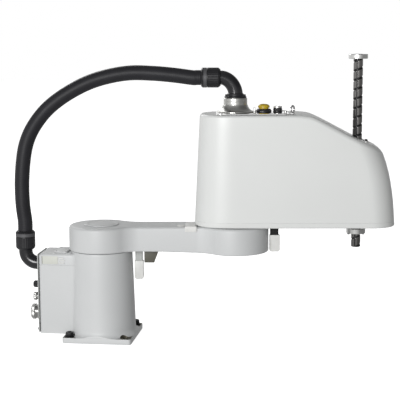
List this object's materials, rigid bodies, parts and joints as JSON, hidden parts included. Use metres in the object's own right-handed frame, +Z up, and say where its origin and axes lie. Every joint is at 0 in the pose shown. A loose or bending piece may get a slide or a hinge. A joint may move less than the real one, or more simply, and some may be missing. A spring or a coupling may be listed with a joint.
{
  "type": "scara robot arm",
  "caption": "Four-axis SCARA arm: bolted foot and column, two horizontal links, rotating ball-screw spline quill, and a cable hose from the foot to the elbow axis.",
  "frame": {"origin": "on the first axis, in the plane of the foot plate's underside", "axes": "+Z up along the first axis; +X forward, away from the connector box; +Y to the left. Both links stand at their zero at rest, turned together 6.2 degrees about +Z from +X"},
  "size_m": [0.8202, 0.2123, 0.613],
  "materials": {
    "painted_casting": "light grey powder coat on an aluminium casting",
    "painted_cover": "light grey painted moulded cover",
    "painted_grey": "mid grey painted sheet",
    "off_white_plastic": "off-white moulded plastic",
    "label": "cream blank label plate",
    "black_plastic": "black moulded nylon",
    "hose": "black flexible conduit",
    "rubber": "black rubber",
    "belt": "black toothed belt",
    "aluminium": "turned and brushed aluminium",
    "steel": "machined bearing steel",
    "black_steel": "black oxide steel",
    "motor": "black anodised motor housing",
    "yellow": "yellow moulded plastic",
    "olive": "dark olive bracket"
  },
  "bodies": {
    "base": {"base_casting": "painted_casting", "base_bolt_front": "black_steel", "base_bolt_rear": "black_steel", "rear_panel": "black_steel", "box_top_cover": "painted_grey", "label_plate": "label", "power_connector": "aluminium", "signal_connector": "aluminium", "user_connector": "black_steel", "air_fitting_upper": "steel", "air_fitting_lower": "steel", "hose_elbow_lower": "black_plastic", "hose_nut_lower": "black_plastic", "j1_motor": "motor", "j1_gear_unit": "steel", "cable_hose": "hose"},
    "lower_arm": {"lower_arm_casting": "painted_casting", "lower_arm_cover": "painted_grey", "j1_output_flange": "steel", "j2_output_flange": "steel", "j1_cap": "painted_cover", "j1_stop_block": "off_white_plastic", "j1_stop_spacer": "rubber", "j1_stop_bracket": "olive", "j2_stop_pad": "off_white_plastic", "j2_stop_lug": "off_white_plastic"},
    "upper_arm": {"upper_arm_floor": "painted_casting", "upper_arm_cover": "painted_cover", "top_panel": "aluminium", "gland_cone": "aluminium", "gland_collar": "aluminium", "button_base": "black_plastic", "user_socket": "black_plastic", "guide_pin": "steel", "earth_screw": "steel", "lifting_eye": "steel", "j2_stop_block": "off_white_plastic", "j2_stop_spacer": "rubber", "j2_gear_unit": "steel", "j2_motor": "motor", "r_motor": "motor", "z_motor": "motor", "spline_bearing_block": "aluminium", "r_belt": "belt", "z_belt": "belt"},
    "hose_swivel": {"hose_elbow_upper": "black_plastic", "hose_nut_upper": "black_plastic", "elbow_screw_rear": "black_steel", "elbow_screw_front": "black_steel"},
    "spline_rotor": {"spline_nut": "steel"},
    "ball_nut_rotor": {"ball_nut": "steel"},
    "quill": {"quill_shaft": "steel", "quill_top_collar": "steel", "quill_lower_collar": "steel", "collar_screw_left": "black_steel", "collar_screw_right": "black_steel"},
    "r_pulley": {"r_motor_pulley": "aluminium"},
    "z_pulley": {"z_motor_pulley": "aluminium"},
    "release_button": {"brake_release_button": "yellow"}
  },
  "joints": [
    {"name": "j1_turn", "type": "hinge", "parent": "base", "child": "lower_arm", "pos_m": [0, 0, 0.194], "axis": [0, 0, 1], "range_deg": [-144.2, 131.8], "deforming": ["cable_hose"]},
    {"name": "j2_turn", "type": "hinge", "parent": "lower_arm", "child": "upper_arm", "pos_m": [0.2883, 0.03132, 0.249], "axis": [0, 0, 1], "range_deg": [-134, 134]},
    {"name": "j4_turn", "type": "hinge", "parent": "upper_arm", "child": "spline_rotor", "pos_m": [0.54678, 0.0594, 0.262], "axis": [0, 0, 1], "range_deg": [-400, 400]},
    {"name": "quill_slide", "type": "slide", "parent": "spline_rotor", "child": "quill", "axis": [0, 0, 1], "range_m": [-0.155, 0.008]},
    {"name": "ball_nut_spin", "type": "hinge", "parent": "spline_rotor", "child": "ball_nut_rotor", "pos_m": [0.54678, 0.0594, 0.352], "axis": [0, 0, 1], "range_deg": [-2790, 144]},
    {"name": "r_pulley_spin", "type": "hinge", "parent": "upper_arm", "child": "r_pulley", "pos_m": [0.47222, 0.0513, 0.335], "axis": [0, 0, 1], "range_deg": [-1000, 1000]},
    {"name": "z_pulley_spin", "type": "hinge", "parent": "upper_arm", "child": "z_pulley", "pos_m": [0.41257, 0.04482, 0.376], "axis": [0, 0, 1], "range_deg": [-6975, 360]},
    {"name": "hose_swivel_turn", "type": "hinge", "parent": "upper_arm", "child": "hose_swivel", "pos_m": [0.2883, 0.03132, 0.521], "axis": [0, 0, 1], "range_deg": [-134, 134]},
    {"name": "release_button_press", "type": "slide", "parent": "upper_arm", "child": "release_button", "axis": [0, 0, -1], "range_m": [0, 0.002], "stiffness_N_per_m": 800, "springref_m": -0.002}
  ],
  "couplings": [
    {"joint": "ball_nut_spin", "follows": "quill_slide", "rad_per_m": 314.16},
    {"joint": "r_pulley_spin", "follows": "j4_turn", "ratio": 2.5},
    {"joint": "z_pulley_spin", "follows": "quill_slide", "rad_per_m": 785.4},
    {"joint": "hose_swivel_turn", "follows": "j2_turn", "ratio": -1}
  ]
}
